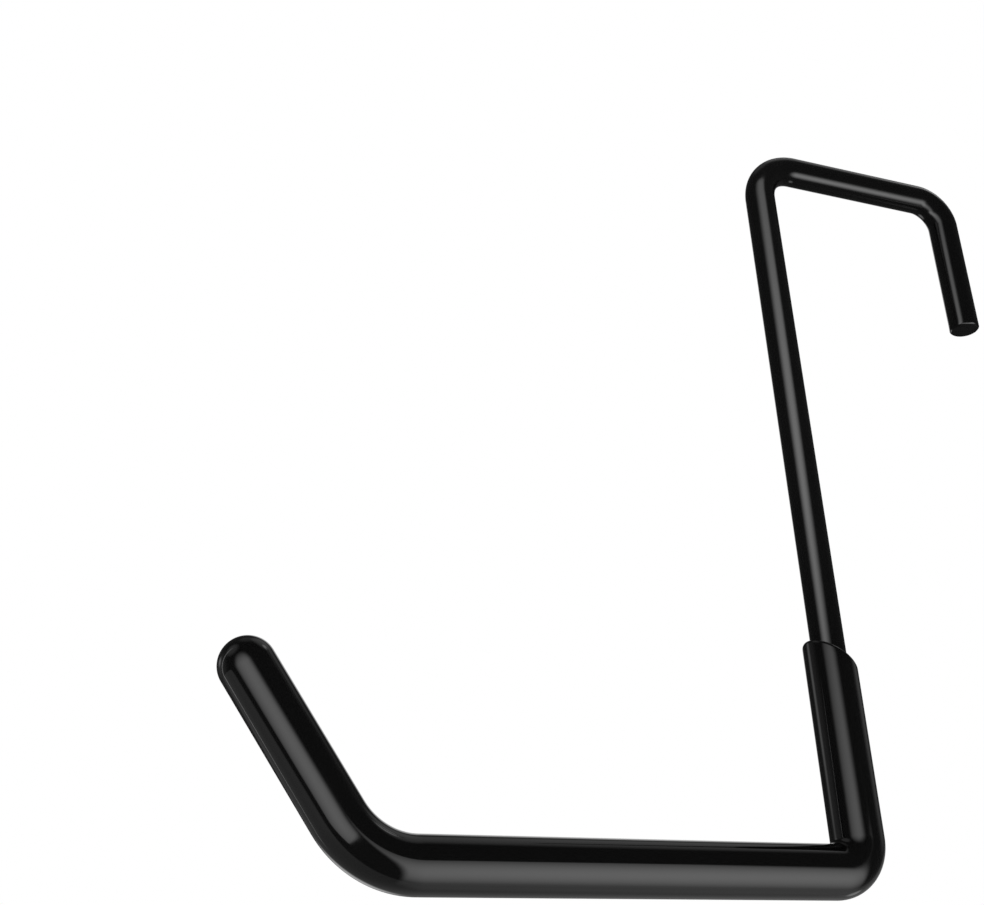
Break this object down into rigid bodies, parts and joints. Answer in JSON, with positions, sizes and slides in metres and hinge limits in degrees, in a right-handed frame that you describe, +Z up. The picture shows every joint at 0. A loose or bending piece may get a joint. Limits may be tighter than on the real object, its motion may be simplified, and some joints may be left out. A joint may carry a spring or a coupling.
{
  "type": "garage utility hook",
  "caption": "Bent steel rod hook that sits over a beam or rack rail, its lower half in a glossy vinyl sleeve that forms a cradle with a rising, round-tipped arm.",
  "frame": {"origin": "middle of the top bar's underside, where the hook sits on its beam, in the plane of the bent rod", "axes": "+X from the shaft to the leg that drops behind the beam, +Y square to the plane of the bent rod, +Z up"},
  "size_m": [0.2102, 0.012, 0.201],
  "materials": {
    "coated_steel": "black powder coat, half gloss",
    "gloss_vinyl": "black vinyl, smooth and glossy"
  },
  "bodies": {
    "root": {"steel_rod": "coated_steel", "vinyl_sleeve": "gloss_vinyl"}
  },
  "joints": []
}
